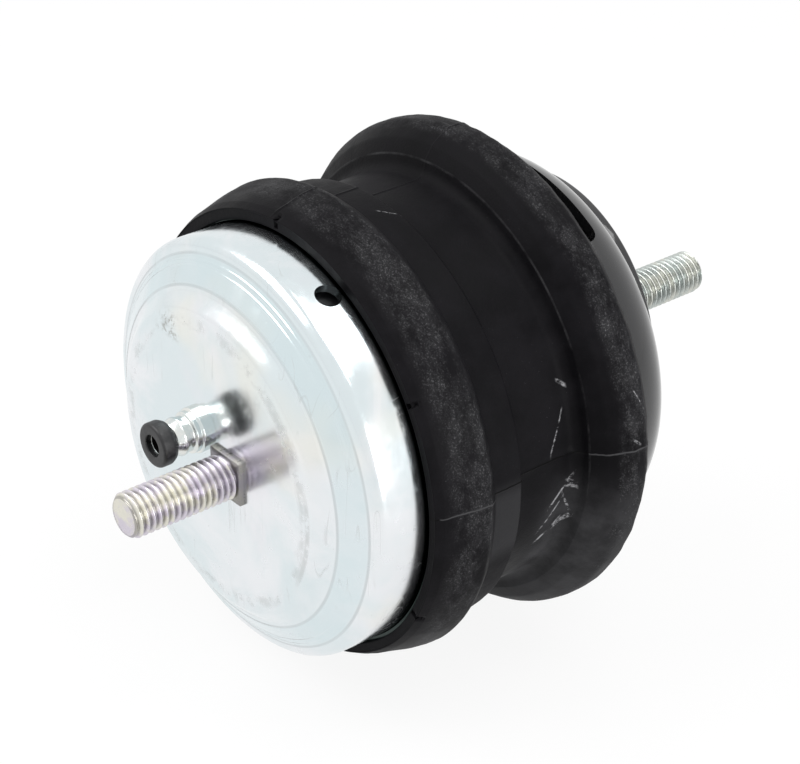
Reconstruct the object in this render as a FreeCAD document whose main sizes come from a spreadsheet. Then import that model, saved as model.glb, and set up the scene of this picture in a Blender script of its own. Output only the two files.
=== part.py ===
import FreeCAD, Part
import Sketcher
import math
import os
from FreeCAD import Placement, Rotation, Vector

# Hydraulic engine mount with a stud at each end, in millimetres.
# It lies on its two rubber rims, axis along Y, near (chassis) end at -Y, far (engine) end at +Y.
# Axial stations are distances from the middle plane of the rubber.  The origin is on the floor,
# below the axis, half way between the two stud tips.

doc = FreeCAD.newDocument("EngineMount")

# Driving dimensions: name, value, meaning.
SIZES = [
    ("flange_radius", "52.5", "outside of the cap's crimped flange"),
    ("near_inset", "1.3", "cup's crimped flange, inside the cap's"),
    ("rim_cover", "4", "rubber over the cap's flange, to the far rim's crest"),
    ("near_cover", "2.6", "rubber over the cup's flange, to the near rim's crest"),
    ("band_inset", "2.9", "band beside the near rim, inside the flanges' radius"),
    ("waist_inset", "5.7", "waist, inside the flanges' radius"),
    ("rubber_wall", "11.8", "rubber between waist and bore"),
    ("crimp_reach", "4.7", "width of both crimps"),
    ("cup_inset", "6", "cup's wall, inside the flanges' radius"),
    ("cap_inset", "4", "cap's wall, inside the flanges' radius"),
    ("lip_gap", "1.2", "gap between each steel wall and its rubber lip"),
    ("lip_cover", "2.2", "rubber over the face of the near flange"),
    ("far_lip_cover", "2.8", "rubber over the face of the far flange"),
    ("near_crest_width", "7", "straight part of the near rim's crest"),
    ("near_roll", "3.8", "rounding of the near rim, from its lip to its crest"),
    ("near_edge", "2.4", "rounding of the near rim's rear edge"),
    ("far_crest_width", "6.5", "far rim's crest, up to its lip"),
    ("band_end", "3.6", "station of the step from band to waist"),
    ("fillet_rise", "5.5", "axial length of the far rim's fillet"),
    ("rim_roll", "6", "roll radius of the far rim"),
    ("rest_flat", "0.35", "flat that the rims take where they lie"),
    ("near_seat", "24.4", "outer face of the cup's flange"),
    ("far_seat", "24.7", "outer face of the cap's flange"),
    ("cup_sheet", "2", "steel of the cup"),
    ("cap_sheet", "2.5", "steel of the cap"),
    ("cup_depth", "16.7", "ledge of the cup, above its flange"),
    ("cup_shoulder", "3.2", "outer shoulder radius of the cup"),
    ("ledge_fall", "3.4", "fall of the ledge, from the raised centre to the cup's shoulder"),
    ("ledge_width", "9.1", "cup's wall to the foot of its raised centre"),
    ("boss_slope", "9.4", "width of the raised centre's side"),
    ("boss_rise", "3.2", "height of the raised centre"),
    ("boss_round", "15.4", "rounding of the raised centre"),
    ("vent_radius", "2.8", "vent hole in the cup's wall"),
    ("vent_setback", "4.2", "vent hole, above the cup's flange"),
    ("vent_angle", "24.9", "turn of the vent hole from the top"),
    ("cap_depth", "21.9", "end face of the cap, above its flange"),
    ("cap_shoulder", "12.5", "outer shoulder radius of the cap"),
    ("slot_width", "6", "slots in the cap's side"),
    ("slot_setback", "9.5", "slots' middle line, above the cap's flange"),
    ("slot_from", "338", "turn of the slot's start from the top"),
    ("slot_span", "55", "turn from one end of a slot to the other"),
    ("disc_inset", "14.8", "seat disc's edge, inside the cap's radius"),
    ("disc_sheet", "2.4", "thickness of the seat disc"),
    ("disc_offset", "0.5", "seat disc's centre, sideways"),
    ("disc_lift", "4.9", "seat disc's centre, upwards"),
    ("stud_diameter", "10", "thread size of both studs"),
    ("stud_side", "5.5", "near stud's offset from the axis"),
    ("near_stand", "25.7", "near stud's tip, from the cup's face"),
    ("far_stand", "45", "far stud's tip, from the seat disc"),
    ("tip_chamfer", "0.95", "chamfer at the studs' tips"),
    ("neck_clearance", "0.2", "square neck's width over the thread"),
    ("neck_stand", "1", "square neck's height above the cup"),
    ("runout", "0.6", "thread's run-out beside the neck"),
    ("stud_overhang", "2.4", "near stud's head beyond its neck"),
    ("stud_head_height", "4.5", "head height of the near stud"),
    ("top_overhang", "3.9", "far stud's head beyond its neck"),
    ("top_head_height", "4.5", "head height of the far stud"),
    ("backing_thickness", "3", "thickness of both backing plates"),
    ("backing_inset", "4", "backing plates, inside the raised centre's flat"),
    ("pin_clearance", "0.8", "locator pin's foot, from the neck of the near stud"),
    ("pin_up", "5.9", "locator pin, above the axis"),
    ("pin_shank", "2.8", "pin through the plates"),
    ("pin_rivet", "4", "riveted end of the pin"),
    ("pin_rivet_height", "1.5", "height of the riveted end"),
    ("pin_foot", "5", "foot of the pin"),
    ("pin_foot_height", "1.4", "height of the foot"),
    ("pin_body", "4.7", "body of the pin"),
    ("pin_shoulder", "7.4", "height of the pin's body above the cup"),
    ("pin_dome", "2.2", "rounding of the pin's body"),
    ("pin_bore", "1.9", "blind bore of the pin"),
    ("ring_radius", "4.9", "outside of the locator ring"),
    ("ring_length", "3.9", "length of the locator ring"),
    ("ring_wall", "1.7", "rubber round the pin's nose"),
    ("ring_lip", "1", "step from the ring's seat to its mouth"),
    ("ring_seat", "2.6", "depth of the seat in the ring"),
    ("bead", "1.5", "diaphragm's bead"),
    ("plate_rim", "1.3", "rim of each track plate"),
    ("ring_sheet", "1.5", "bonded rings"),
    ("ring_reach", "9.8", "bonded rings, inside the crimps"),
    ("cover_sheet", "1.5", "steel of the chamber cover"),
    ("cover_inset", "4.8", "chamber cover's wall, inside the bonded ring"),
    ("cover_taper", "4.7", "slope of the chamber cover's wall"),
    ("cover_depth", "17.2", "chamber cover's floor, below the cap's flange"),
    ("stop_gap", "4", "bump stop's edge, from the fill plug"),
    ("stop_height", "12", "height of the bump stop"),
    ("plug_inset", "7", "fill plug, inside the chamber cover's wall"),
    ("plug_radius", "2.5", "fill plug's shank"),
    ("membrane", "1.3", "diaphragm's wall"),
    ("membrane_gap", "1.3", "air between the cup's wall and the diaphragm"),
    ("membrane_depth", "7.8", "diaphragm's fold, above the cup's flange"),
    ("body_gap", "1.7", "diaphragm's wall to the lower track plate"),
    ("track_depth", "7.6", "depth of the lower track plate below its rim"),
    ("track_wall", "2.7", "wall outside the inertia track"),
    ("track_width", "6.5", "width of the inertia track"),
    ("track_cut", "6", "depth of the inertia track"),
    ("pocket_wall", "8", "wall between the track and the decoupler pocket"),
    ("pocket_depth", "3.6", "depth of the decoupler pocket"),
    ("decoupler_gap", "0.3", "clearance round the decoupler"),
    ("rivet_radius", "1.3", "shank of the plate rivets"),
]

sheet = doc.addObject("Spreadsheet::Sheet", "Sizes")
for row, (name, text, meaning) in enumerate(SIZES, start=1):
    sheet.set("A%d" % row, meaning)
    sheet.set("B%d" % row, text)
    sheet.setAlias("B%d" % row, name)
doc.recompute()


class Dim:
    """A length with its present value and the expression that drives it."""

    def __init__(self, value, text):
        self.value = float(value)
        self.text = text

    def __add__(self, other):
        other = dim(other)
        return Dim(self.value + other.value, "(%s + %s)" % (self.text, other.text))

    def __radd__(self, other):
        return dim(other) + self

    def __sub__(self, other):
        other = dim(other)
        return Dim(self.value - other.value, "(%s - %s)" % (self.text, other.text))

    def __rsub__(self, other):
        return dim(other) - self

    def __mul__(self, factor):
        return Dim(self.value * factor, "(%s * %s)" % (self.text, factor))

    def __neg__(self):
        return Dim(-self.value, "(-1 * %s)" % self.text)


def dim(item):
    return item if isinstance(item, Dim) else Dim(item, str(item))


def size(name):
    return Dim(sheet.get(name), "Sizes.%s" % name)


# Radii, from the flanges inwards and outwards.
near_flange = size("flange_radius") - size("near_inset")
near_rim = near_flange + size("near_cover")
rim_radius = size("flange_radius") + size("rim_cover")
axis_height = rim_radius - size("rest_flat")
band_radius = size("flange_radius") - size("band_inset")
waist_radius = size("flange_radius") - size("waist_inset")
rubber_bore = waist_radius - size("rubber_wall")
crimp_radius = size("flange_radius") - size("crimp_reach")
cup_radius = size("flange_radius") - size("cup_inset")
cap_radius = size("flange_radius") - size("cap_inset")
lip_radius = cup_radius + size("lip_gap")
far_lip_radius = cap_radius + size("lip_gap")
channel_radius = near_flange - size("cup_sheet")
cap_channel = size("flange_radius") - size("cap_sheet")
boss_radius = cup_radius - size("ledge_width")
boss_flat = boss_radius - size("boss_slope")
backing_radius = boss_flat - size("backing_inset")
disc_radius = cap_radius - size("disc_inset")
ring_inner = crimp_radius - size("ring_reach")
cover_wall = ring_inner - size("cover_inset")
cover_foot = cover_wall - size("cover_taper")
plug_turn = cover_foot - size("plug_inset")
stop_radius = plug_turn - size("plug_radius") - size("stop_gap")
membrane_radius = cup_radius - size("cup_sheet") - size("membrane_gap")
track_body = membrane_radius - size("membrane") - size("body_gap")
track_outer = track_body - size("track_wall")
track_inner = track_outer - size("track_width")
pocket_radius = track_inner - size("pocket_wall")
rivet_circle = (track_inner + pocket_radius) * 0.5
stud_radius = size("stud_diameter") * 0.5
neck_half = stud_radius + size("neck_clearance") * 0.5
stud_head = neck_half + size("stud_overhang")
top_head = neck_half + size("top_overhang")
pin_side = size("stud_side") - neck_half - size("pin_foot") - size("pin_clearance")
ring_bore = size("ring_radius") - size("ring_wall")
ring_hole = ring_bore - size("ring_lip")

# Stations: the stacks clamped in the two crimped flanges, then what stands on each end.
near_floor = -size("near_seat") + size("cup_sheet")
bead_top = near_floor + size("bead")
plates_meet = bead_top + size("plate_rim")
plates_top = plates_meet + size("plate_rim")
near_crimp = plates_top + size("ring_sheet")
near_crimp_end = near_crimp + size("cup_sheet")
far_floor = size("far_seat") - size("cap_sheet")
cover_top = far_floor - size("cover_sheet")
far_crimp = cover_top - size("ring_sheet")
far_crimp_end = far_crimp - size("cap_sheet")
ledge = size("near_seat") + size("cup_depth")
near_face = -ledge - size("boss_rise")
near_inner = near_face + size("cup_sheet")
near_backing_face = near_inner + size("backing_thickness")
near_tip = -near_face + size("near_stand")
vent_station = size("near_seat") + size("vent_setback")
cap_face = size("far_seat") + size("cap_depth")
cap_inner = cap_face - size("cap_sheet")
top_backing_face = cap_inner - size("backing_thickness")
disc_face = cap_face + size("disc_sheet")
far_tip = disc_face + size("far_stand")
slot_station = size("far_seat") + size("slot_setback")
cover_floor = size("far_seat") - size("cover_depth")
near_lip = -size("near_seat") - size("lip_cover")
far_lip = size("far_seat") + size("far_lip_cover")
near_crest = near_lip + size("near_roll") - 0.2
near_fall = near_crest + size("near_crest_width")
far_crest = far_lip - size("far_crest_width")
waist_end = far_crest - size("rim_roll") - size("fillet_rise")
middle = (far_tip - near_tip) * 0.5


def plane(body, role):
    for feature in body.Origin.OriginFeatures:
        if feature.Role == role:
            return feature


def drive(item, path, length):
    item.setExpression(path, dim(length).text)


def new_body(name, side=0, up=0, station=0, turn=0):
    """A body placed by its own axis point: sideways, above the mount's axis, along it."""
    body = doc.addObject("PartDesign::Body", name)
    body.Label = name
    body.Placement = Placement(Vector(0, 0, 0), Rotation(Vector(0, 1, 0), turn))
    drive(body, "Placement.Base.x", side)
    drive(body, "Placement.Base.y", dim(station) - middle)
    drive(body, "Placement.Base.z", axis_height + up)
    return body


def arc_centre(start, end, radius, bulge):
    """Centre of the short arc from start to end that bulges to the right (+1) or left (-1)."""
    chord = end - start
    half = chord.Length / 2
    rise = math.sqrt(max(radius * radius - half * half, 0))
    normal = Vector(-chord.y, chord.x, 0).normalize()
    return (start + end) * 0.5 + normal * rise * bulge


def profile(body, name, corners, role="XY_Plane"):
    """Closed sketch through corners (x, y) or (x, y, radius, bulge): the last two bend the
    edge that ends at that corner.  Every corner is placed by its own dimensions."""
    sketch = body.newObject("Sketcher::SketchObject", name)
    sketch.AttachmentSupport = [(plane(body, role), "")]
    sketch.MapMode = "FlatFace"
    points = [Vector(dim(c[0]).value, dim(c[1]).value, 0) for c in corners]
    begins = []
    ends = []
    for i in range(len(corners)):
        j = (i + 1) % len(corners)
        bend = corners[j][2:]
        if bend:
            radius = dim(bend[0]).value
            centre = arc_centre(points[i], points[j], radius, bend[1])
            first, last = (points[i], points[j]) if bend[1] > 0 else (points[j], points[i])
            angles = [math.atan2(p.y - centre.y, p.x - centre.x) for p in (first, last)]
            circle = Part.Circle(centre, Vector(0, 0, 1), radius)
            edge = sketch.addGeometry(Part.ArcOfCircle(circle, angles[0], angles[1]), False)
            begins.append((edge, 1 if bend[1] > 0 else 2))
            ends.append((edge, 2 if bend[1] > 0 else 1))
        else:
            edge = sketch.addGeometry(Part.LineSegment(points[i], points[j]), False)
            begins.append((edge, 1))
            ends.append((edge, 2))
    for i in range(len(corners)):
        j = (i + 1) % len(corners)
        sketch.addConstraint(Sketcher.Constraint("Coincident", *ends[i], *begins[j]))
    for i, corner in enumerate(corners):
        edge, end = begins[i]
        for kind, length, axis in (("DistanceX", corner[0], -2), ("DistanceY", corner[1], -1)):
            if isinstance(length, Dim):
                k = sketch.addConstraint(Sketcher.Constraint(kind, -1, 1, edge, end, length.value))
                drive(sketch, "Constraints[%d]" % k, length)
            else:
                sketch.addConstraint(Sketcher.Constraint("PointOnObject", edge, end, axis))
    for i in range(len(corners)):
        bend = corners[(i + 1) % len(corners)][2:]
        if bend:
            k = sketch.addConstraint(Sketcher.Constraint("Radius", begins[i][0], dim(bend[0]).value))
            drive(sketch, "Constraints[%d]" % k, bend[0])
    return sketch


def revolve(body, name, corners, role="XY_Plane"):
    sketch = profile(body, name + "_profile", corners, role)
    turned = body.newObject("PartDesign::Revolution", name)
    turned.Profile = sketch
    turned.ReferenceAxis = (sketch, ["V_Axis"])
    turned.Angle = 360
    return turned


def round_hole(body, name, radius, side=0, up=0):
    """Round hole right through the body, along the mount's axis."""
    sketch = body.newObject("Sketcher::SketchObject", name + "_sketch")
    sketch.AttachmentSupport = [(plane(body, "XZ_Plane"), "")]
    sketch.MapMode = "FlatFace"
    side, up, radius = dim(side), dim(up), dim(radius)
    circle = Part.Circle(Vector(side.value, up.value, 0), Vector(0, 0, 1), radius.value)
    edge = sketch.addGeometry(circle, False)
    k = sketch.addConstraint(Sketcher.Constraint("Radius", edge, radius.value))
    drive(sketch, "Constraints[%d]" % k, radius)
    for kind, length, axis in (("DistanceX", side, -2), ("DistanceY", up, -1)):
        if length.value:
            k = sketch.addConstraint(Sketcher.Constraint(kind, -1, 1, edge, 3, length.value))
            drive(sketch, "Constraints[%d]" % k, length)
        else:
            sketch.addConstraint(Sketcher.Constraint("PointOnObject", edge, 3, axis))
    return cut_through(body, name, sketch)


def cut_through(body, name, sketch):
    pocket = body.newObject("PartDesign::Pocket", name)
    pocket.Profile = sketch
    pocket.Type = 1
    pocket.Midplane = True
    return pocket


def square(half, side=0, up=0):
    side, up = dim(side), dim(up)
    return [(side - half, up - half), (side + half, up - half),
            (side + half, up + half), (side - half, up + half)]


def square_hole(body, name, half, side=0, up=0):
    sketch = profile(body, name + "_sketch", square(half, side, up), "XZ_Plane")
    return cut_through(body, name, sketch)


def ring_of(body, name, feature, count):
    """Copies of a feature, evenly spaced round the body's axis."""
    pattern = body.newObject("PartDesign::PolarPattern", name)
    pattern.Originals = [feature]
    pattern.Axis = (plane(body, "Y_Axis"), [""])
    pattern.Angle = 360
    pattern.Occurrences = count
    body.Tip = pattern
    return pattern


def radial_hole(body, name, radius, station, angle, reach):
    """Round hole through one side wall, square to the axis, at an angle from the top."""
    hole = body.newObject("PartDesign::SubtractiveCylinder", name)
    hole.Placement = Placement(Vector(0, 0, 0), Rotation(Vector(0, 1, 0), 10))
    drive(hole, "Radius", radius)
    drive(hole, "Height", reach)
    drive(hole, "Placement.Base.y", station)
    drive(hole, "Placement.Rotation.Angle", angle)
    return hole


# ---- Near end: cup, stud, locator, backing plate ----

cup = new_body("base_cup")
shoulder_foot = cup_radius - size("cup_shoulder")
shoulder = -ledge + size("ledge_fall")
wall_foot = shoulder + size("cup_shoulder")
inner_wall = cup_radius - size("cup_sheet")
revolve(cup, "cup_shell", [
    (0, near_face),
    (boss_flat, near_face),
    (boss_radius, -ledge, size("boss_round"), 1),
    (shoulder_foot, shoulder),
    (cup_radius, wall_foot, size("cup_shoulder"), 1),
    (cup_radius, -size("near_seat")),
    (near_flange, -size("near_seat")),
    (near_flange, near_crimp_end),
    (crimp_radius, near_crimp_end),
    (crimp_radius, near_crimp),
    (channel_radius, near_crimp),
    (channel_radius, near_floor),
    (inner_wall, near_floor),
    (inner_wall, wall_foot),
    (shoulder_foot, shoulder + size("cup_sheet"), size("cup_shoulder") - size("cup_sheet"), -1),
    (boss_radius - size("cup_sheet") * 0.35, -ledge + size("cup_sheet")),
    (boss_flat, near_inner, size("boss_round") - size("cup_sheet"), -1),
    (0, near_inner),
])
square_hole(cup, "neck_hole", neck_half, size("stud_side"))
round_hole(cup, "pin_hole", size("pin_foot"), pin_side, size("pin_up"))
radial_hole(cup, "vent_hole", size("vent_radius"), -vent_station, size("vent_angle"),
            size("flange_radius"))

backing = new_body("base_backing_plate")
revolve(backing, "backing_disc", [
    (0, near_inner),
    (backing_radius, near_inner),
    (backing_radius, near_backing_face),
    (0, near_backing_face),
])
square_hole(backing, "neck_hole_inner", neck_half, size("stud_side"))
round_hole(backing, "pin_hole_inner", size("pin_shank"), pin_side, size("pin_up"))


def stud(name, side, up, tip, neck_end, seat, head_radius, head_height, outward):
    """Stud with a round head inside, a square neck through the plates and a threaded shank.
    outward is -1 for the near end and +1 for the far end."""
    body = new_body(name, side, up)
    tip_radius = stud_radius - size("tip_chamfer")
    chamfer_foot = tip - size("tip_chamfer") * outward
    thread_end = neck_end + size("runout") * outward
    root = stud_radius - size("runout")
    head_end = seat - head_height * outward
    crown = size("tip_chamfer")
    revolve(body, name + "_turned", [
        (0, tip),
        (tip_radius, tip),
        (stud_radius, chamfer_foot),
        (stud_radius, thread_end),
        (root, neck_end),
        (root, seat),
        (head_radius, seat),
        (head_radius, head_end + crown * outward),
        (head_radius - crown, head_end),
        (0, head_end),
    ])
    sketch = profile(body, name + "_neck_sketch", square(neck_half), "XZ_Plane")
    drive(sketch, "AttachmentOffset.Base.z", -seat)
    neck = body.newObject("PartDesign::Pad", name + "_neck")
    neck.Profile = sketch
    neck.Type = 0
    drive(neck, "Length", (neck_end - seat) * outward)
    neck.Reversed = outward > 0
    return body


near_stud = stud("base_stud", size("stud_side"), 0, -near_tip, near_face - size("neck_stand"),
                 near_backing_face, stud_head, size("stud_head_height"), -1)

pin = new_body("locator_pin", pin_side, size("pin_up"))
pin_top = near_face - size("pin_shoulder")
ring_front = pin_top - size("ring_length")
nose_end = ring_front + size("ring_length") - size("ring_seat")
revolve(pin, "pin_turned", [
    (0, near_backing_face + size("pin_rivet_height")),
    (0, nose_end + size("ring_seat") * 3),
    (size("pin_bore"), nose_end + size("ring_seat") * 2.6),
    (size("pin_bore"), nose_end),
    (ring_bore, nose_end),
    (ring_bore, pin_top),
    (size("pin_body") - size("pin_dome") * 0.6, pin_top),
    (size("pin_body"), pin_top + size("pin_dome"), size("pin_dome") * 1.15, 1),
    (size("pin_body"), near_face - size("pin_foot_height")),
    (size("pin_foot"), near_face - size("pin_foot_height") * 0.5),
    (size("pin_foot"), near_inner),
    (size("pin_shank"), near_inner),
    (size("pin_shank"), near_backing_face),
    (size("pin_rivet"), near_backing_face),
    (size("pin_rivet") * 0.75, near_backing_face + size("pin_rivet_height")),
])

ring = new_body("locator_ring", pin_side, size("pin_up"))
ring_edge = size("ring_length") * 0.18
revolve(ring, "ring_moulded", [
    (ring_hole, ring_front),
    (size("ring_radius") - ring_edge, ring_front),
    (size("ring_radius"), ring_front + ring_edge, ring_edge * 1.1, 1),
    (size("ring_radius"), pin_top - ring_edge),
    (size("ring_radius") - ring_edge, pin_top, ring_edge * 1.1, 1),
    (ring_bore, pin_top),
    (ring_bore, nose_end),
    (ring_hole, nose_end),
])

# ---- Fluid side: diaphragm, track plates, decoupler, rivets ----

diaphragm = new_body("diaphragm")
wall_in = membrane_radius - size("membrane")
fold = -size("near_seat") - size("membrane_depth")
revolve(diaphragm, "membrane_moulded", [
    (0, fold + size("membrane") * 2.4),
    (0, fold + size("membrane") * 1.4),
    (track_inner * 0.75, fold + size("membrane") * 1.4),
    (track_inner, fold),
    (membrane_radius - size("cup_sheet"), fold),
    (membrane_radius, fold + size("cup_sheet"), size("cup_sheet"), 1),
    (membrane_radius, near_floor),
    (channel_radius, near_floor),
    (channel_radius, bead_top),
    (wall_in, bead_top),
    (wall_in, fold + size("cup_sheet")),
    (membrane_radius - size("cup_sheet"), fold + size("membrane"), size("cup_sheet"), -1),
    (track_inner, fold + size("membrane")),
    (track_inner * 0.75, fold + size("membrane") * 2.4),
])

lower = new_body("lower_track_plate")
body_foot = bead_top - size("track_depth") + size("bead")
revolve(lower, "lower_plate_cast", [
    (0, body_foot),
    (track_body, body_foot),
    (track_body, bead_top),
    (channel_radius, bead_top),
    (channel_radius, plates_meet),
    (0, plates_meet),
])
track_sketch = profile(lower, "track_section", [
    (track_inner, plates_meet - size("track_cut")),
    (track_outer, plates_meet - size("track_cut")),
    (track_outer, plates_meet),
    (track_inner, plates_meet),
])
track = lower.newObject("PartDesign::Groove", "inertia_track")
track.Profile = track_sketch
track.ReferenceAxis = (track_sketch, ["V_Axis"])
track.Angle = 330
pocket_sketch = profile(lower, "pocket_section", [
    (0, plates_meet - size("pocket_depth")),
    (pocket_radius, plates_meet - size("pocket_depth")),
    (pocket_radius, plates_meet),
    (0, plates_meet),
])
pocket = lower.newObject("PartDesign::Groove", "decoupler_pocket")
pocket.Profile = pocket_sketch
pocket.ReferenceAxis = (pocket_sketch, ["V_Axis"])
pocket.Angle = 360
track_middle = (track_outer + track_inner) * 0.5
port_radius = (track_outer - track_inner) * 0.4
round_hole(lower, "track_outlet", port_radius, track_middle * 0.966, track_middle * -0.259)
hole_radius = pocket_radius * 0.09
for name, share, count in (("lower_inner_grid", 0.35, 6), ("lower_outer_grid", 0.74, 12)):
    ring_of(lower, name, round_hole(lower, name + "_hole", hole_radius, pocket_radius * share),
            count)
ring_of(lower, "lower_rivet_holes",
        round_hole(lower, "lower_rivet_hole", size("rivet_radius"), 0, rivet_circle), 4)

upper = new_body("upper_track_plate")
revolve(upper, "upper_plate_blank", [
    (0, plates_meet),
    (channel_radius, plates_meet),
    (channel_radius, plates_top),
    (0, plates_top),
])
round_hole(upper, "track_inlet", port_radius, track_middle * 0.966, track_middle * 0.259)
for name, share, count in (("upper_inner_grid", 0.35, 6), ("upper_outer_grid", 0.74, 12)):
    ring_of(upper, name, round_hole(upper, name + "_hole", hole_radius, pocket_radius * share),
            count)
ring_of(upper, "upper_rivet_holes",
        round_hole(upper, "upper_rivet_hole", size("rivet_radius"), 0, rivet_circle), 4)

decoupler = new_body("decoupler")
revolve(decoupler, "decoupler_moulded", [
    (0, plates_meet - size("pocket_depth") + size("decoupler_gap")),
    (pocket_radius - size("decoupler_gap"), plates_meet - size("pocket_depth") + size("decoupler_gap")),
    (pocket_radius - size("decoupler_gap"), plates_meet - size("decoupler_gap")),
    (0, plates_meet - size("decoupler_gap")),
])

# Four rivets, one group of separate solids.
rivet_shapes = []
rivet_head = size("rivet_radius").value * 1.8
head_height = size("rivet_radius").value
for quarter in range(4):
    turn = Rotation(Vector(0, 1, 0), 90 * quarter)
    spot = turn.multVec(Vector(0, 0, rivet_circle.value))
    foot = Vector(spot.x, body_foot.value - head_height, spot.z)
    length = plates_top.value - body_foot.value
    along = Vector(0, 1, 0)
    shank = Part.makeCylinder(size("rivet_radius").value, length, foot + along * head_height, along)
    lower_head = Part.makeCylinder(rivet_head, head_height, foot, along)
    upper_head = Part.makeCylinder(rivet_head, head_height, foot + along * (length + head_height), along)
    rivet_shapes.append(shank.multiFuse([lower_head, upper_head]).removeSplitter())
rivets = doc.addObject("Part::Feature", "plate_rivets")
rivets.Label = "plate_rivets"
rivets.Shape = Part.makeCompound(rivet_shapes)
rivets.Placement = Placement(Vector(0, -middle.value, axis_height.value), Rotation())

# ---- Rubber main spring and its bonded rings ----

lower_ring = new_body("lower_spring_ring")
revolve(lower_ring, "lower_ring_pressed", [
    (ring_inner, plates_top),
    (channel_radius, plates_top),
    (channel_radius, near_crimp),
    (ring_inner, near_crimp),
])

upper_ring = new_body("upper_spring_ring")
revolve(upper_ring, "upper_ring_pressed", [
    (ring_inner, far_crimp),
    (cap_channel, far_crimp),
    (cap_channel, cover_top),
    (ring_inner, cover_top),
])

spring = new_body("main_spring")
roll = size("rim_roll")
edge = size("near_edge")
band_start = near_fall + edge * 1.7
bore_lip = rubber_bore + 1.5
revolve(spring, "rubber_moulded", [
    (lip_radius, -size("near_seat")),
    (lip_radius, near_lip + 0.6),
    (lip_radius + 0.6, near_lip),
    (near_rim - size("near_roll"), near_lip),
    (near_rim - 0.3, near_crest, size("near_roll"), 1),
    (near_rim, near_fall),
    (near_rim - edge * 0.9, near_fall + edge, edge, 1),
    (band_radius, band_start),
    (band_radius, -size("band_end")),
    (band_radius - 1, -size("band_end") + 1, 1, 1),
    (waist_radius, -size("band_end") + 2),
    (waist_radius, waist_end),
    (waist_radius + 3.4, waist_end + size("fillet_rise"), size("fillet_rise") + 0.65, -1),
    (rim_radius - roll, far_crest - roll + 0.1),
    (rim_radius, far_crest, roll, 1),
    (rim_radius, far_lip - 2.1),
    (rim_radius - 1.2, far_lip - 0.9, 1.2, 1),
    (rim_radius - 3, far_lip),
    (far_lip_radius, far_lip),
    (far_lip_radius, size("far_seat")),
    (size("flange_radius"), size("far_seat")),
    (size("flange_radius"), far_crimp_end),
    (crimp_radius, far_crimp_end),
    (crimp_radius, far_crimp),
    (bore_lip, far_crimp),
    (rubber_bore, far_crimp - 5),
    (rubber_bore, near_crimp + 5),
    (bore_lip, near_crimp),
    (crimp_radius, near_crimp),
    (crimp_radius, near_crimp_end),
    (near_flange, near_crimp_end),
    (near_flange, -size("near_seat")),
])
# Six small notches in the near lip, where the mould's pegs held the flange.
notch_sketch = profile(spring, "lip_notch_section", [
    (lip_radius - 2, near_lip - 2),
    (lip_radius + 1.8, near_lip - 2),
    (lip_radius + 1.8, near_lip + 1.5),
    (lip_radius - 2, near_lip + 1.5),
])
notch_sketch.AttachmentOffset = Placement(Vector(0, 0, 0), Rotation(Vector(0, 1, 0), 26.4))
notch = spring.newObject("PartDesign::Groove", "lip_notch")
notch.Profile = notch_sketch
notch.ReferenceAxis = (notch_sketch, ["V_Axis"])
notch.Angle = 3.2
ring_of(spring, "lip_notches", notch, 6)
# Small flats where the two rims lie.
flat_sketch = profile(spring, "rest_flat_outline", [
    (rim_radius * -0.3, -rim_radius - 2),
    (rim_radius * 0.3, -rim_radius - 2),
    (rim_radius * 0.3, -axis_height),
    (rim_radius * -0.3, -axis_height),
], "XZ_Plane")
cut_through(spring, "rest_flats", flat_sketch)

# ---- Far end: chamber cover, bump stop, fill plug, cap, disc, stud ----

cover = new_body("chamber_cover")
floor_top = cover_floor + size("cover_sheet")
revolve(cover, "cover_pressed", [
    (0, cover_floor),
    (cover_foot, cover_floor),
    (cover_wall, cover_top),
    (cap_channel, cover_top),
    (cap_channel, far_floor),
    (cover_wall - size("cover_sheet"), far_floor),
    (cover_foot - size("cover_sheet"), floor_top),
    (0, floor_top),
])
round_hole(cover, "fill_hole", size("plug_radius"), 0, plug_turn)

stop = new_body("bump_stop")
stop_tip = cover_floor - size("stop_height")
revolve(stop, "stop_moulded", [
    (0, stop_tip),
    (stop_radius * 0.5, stop_tip),
    (stop_radius * 0.8, stop_tip + stop_radius * 0.3, stop_radius * 0.32, 1),
    (stop_radius, cover_floor),
    (0, cover_floor),
])

plug = new_body("fill_plug", 0, plug_turn)
revolve(plug, "plug_turned", [
    (0, cover_floor - size("cover_sheet")),
    (size("plug_radius"), cover_floor - size("cover_sheet")),
    (size("plug_radius"), floor_top),
    (size("plug_radius") * 1.7, floor_top),
    (size("plug_radius") * 1.2, floor_top + size("cover_sheet")),
    (0, floor_top + size("cover_sheet")),
])

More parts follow.
